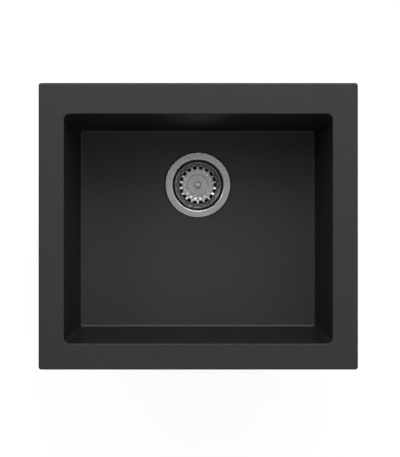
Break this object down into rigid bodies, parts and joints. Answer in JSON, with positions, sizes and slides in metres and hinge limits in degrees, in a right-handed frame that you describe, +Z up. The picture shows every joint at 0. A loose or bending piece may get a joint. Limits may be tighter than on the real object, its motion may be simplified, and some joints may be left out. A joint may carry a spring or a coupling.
{
  "type": "undermount kitchen sink",
  "caption": "Undermount kitchen sink: dark composite bowl with a wide flat rim, a steel basket strainer waste and swivelling clamp plates under the rim.",
  "frame": {"origin": "middle of the rim's outer rectangle, in the plane of its top face, which meets the worktop's underside", "axes": "+X to the right, +Y towards the back rim, +Z up out of the bowl"},
  "size_m": [0.557, 0.5, 0.2861],
  "materials": {
    "composite": "fine matt granite composite, dark grey, faint speckle",
    "flange_steel": "round-brushed stainless steel",
    "basket_steel": "satin stainless steel, spun",
    "knob_steel": "polished stainless steel",
    "fastener_steel": "bright stainless steel",
    "zinc": "zinc-plated steel, slightly blue",
    "brass": "turned brass",
    "rubber": "matt black rubber",
    "body_plastic": "moulded off-white polypropylene",
    "washer_plastic": "natural nylon"
  },
  "bodies": {
    "sink": {"sink_bowl": "composite", "waste_flange": "flange_steel", "waste_upper_seal": "rubber", "waste_lower_gasket": "rubber", "waste_body": "body_plastic", "waste_cross": "body_plastic", "waste_centre_screw": "fastener_steel", "waste_centre_washer": "washer_plastic", "waste_centre_nut": "brass", "clamp_insert_back_right": "brass", "clamp_washer_back_right": "zinc", "clamp_screw_back_right": "zinc", "clamp_insert_back_left": "brass", "clamp_washer_back_left": "zinc", "clamp_screw_back_left": "zinc", "clamp_insert_left_back": "brass", "clamp_washer_left_back": "zinc", "clamp_screw_left_back": "zinc", "clamp_insert_left_front": "brass", "clamp_washer_left_front": "zinc", "clamp_screw_left_front": "zinc", "clamp_insert_front_left": "brass", "clamp_washer_front_left": "zinc", "clamp_screw_front_left": "zinc", "clamp_insert_front_right": "brass", "clamp_washer_front_right": "zinc", "clamp_screw_front_right": "zinc", "clamp_insert_right_front": "brass", "clamp_washer_right_front": "zinc", "clamp_screw_right_front": "zinc", "clamp_insert_right_back": "brass", "clamp_washer_right_back": "zinc", "clamp_screw_right_back": "zinc"},
    "basket": {"basket_cup": "basket_steel", "basket_knob": "knob_steel", "basket_stem": "fastener_steel", "basket_backing_washer": "fastener_steel", "basket_seal": "rubber", "basket_support_washer": "fastener_steel", "basket_lock_nut": "fastener_steel"},
    "clamp_back_right": {"clamp_plate_back_right": "zinc"},
    "clamp_back_left": {"clamp_plate_back_left": "zinc"},
    "clamp_left_back": {"clamp_plate_left_back": "zinc"},
    "clamp_left_front": {"clamp_plate_left_front": "zinc"},
    "clamp_front_left": {"clamp_plate_front_left": "zinc"},
    "clamp_front_right": {"clamp_plate_front_right": "zinc"},
    "clamp_right_front": {"clamp_plate_right_front": "zinc"},
    "clamp_right_back": {"clamp_plate_right_back": "zinc"}
  },
  "joints": [
    {"name": "basket_lift", "type": "slide", "parent": "sink", "child": "basket", "axis": [0, 0, 1], "range_m": [0, 0.27]},
    {"name": "clamp_back_right_turn", "type": "hinge", "parent": "sink", "child": "clamp_back_right", "pos_m": [0.14, 0.23105, -0.01525], "axis": [0, 0, -1], "range_deg": [0, 180]},
    {"name": "clamp_back_left_turn", "type": "hinge", "parent": "sink", "child": "clamp_back_left", "pos_m": [-0.14, 0.23105, -0.01525], "axis": [0, 0, 1], "range_deg": [0, 180]},
    {"name": "clamp_left_back_turn", "type": "hinge", "parent": "sink", "child": "clamp_left_back", "pos_m": [-0.26445, 0.12, -0.01525], "axis": [0, 0, -1], "range_deg": [0, 180]},
    {"name": "clamp_left_front_turn", "type": "hinge", "parent": "sink", "child": "clamp_left_front", "pos_m": [-0.26445, -0.12, -0.01525], "axis": [0, 0, 1], "range_deg": [0, 180]},
    {"name": "clamp_front_left_turn", "type": "hinge", "parent": "sink", "child": "clamp_front_left", "pos_m": [-0.14, -0.2353, -0.01525], "axis": [0, 0, -1], "range_deg": [0, 180]},
    {"name": "clamp_front_right_turn", "type": "hinge", "parent": "sink", "child": "clamp_front_right", "pos_m": [0.14, -0.2353, -0.01525], "axis": [0, 0, 1], "range_deg": [0, 180]},
    {"name": "clamp_right_front_turn", "type": "hinge", "parent": "sink", "child": "clamp_right_front", "pos_m": [0.26445, -0.12, -0.01525], "axis": [0, 0, -1], "range_deg": [0, 180]},
    {"name": "clamp_right_back_turn", "type": "hinge", "parent": "sink", "child": "clamp_right_back", "pos_m": [0.26445, 0.12, -0.01525], "axis": [0, 0, 1], "range_deg": [0, 180]}
  ]
}
